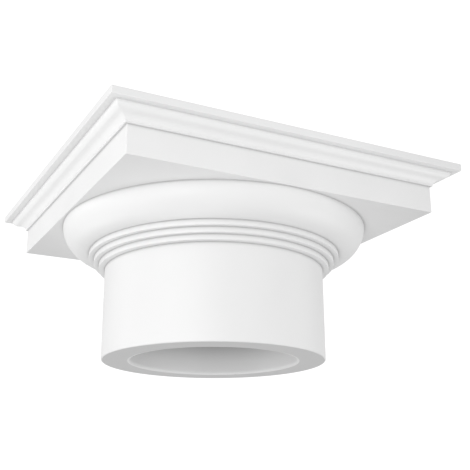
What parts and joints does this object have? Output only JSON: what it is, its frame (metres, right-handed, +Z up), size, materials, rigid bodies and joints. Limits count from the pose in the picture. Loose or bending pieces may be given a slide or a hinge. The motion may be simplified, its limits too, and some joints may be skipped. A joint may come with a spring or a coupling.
{
  "type": "doric capital",
  "caption": "Doric column capital with a hollow round neck, stepped annulets, a rounded echinus and a square abacus under a moulded crown; it stands on a round shaft and carries a beam.",
  "frame": {"origin": "centre of the neck's flat underside, where the capital stands on the column's shaft", "axes": "+Z up, from the shaft towards the beam; the sides of the square abacus run along X and Y"},
  "size_m": [0.4034, 0.4034, 0.2024],
  "materials": {
    "primed_hard_foam": "moulded rigid foam with a smooth white primer coat, matt to satin"
  },
  "bodies": {
    "root": {"capital": "primed_hard_foam"}
  },
  "joints": []
}
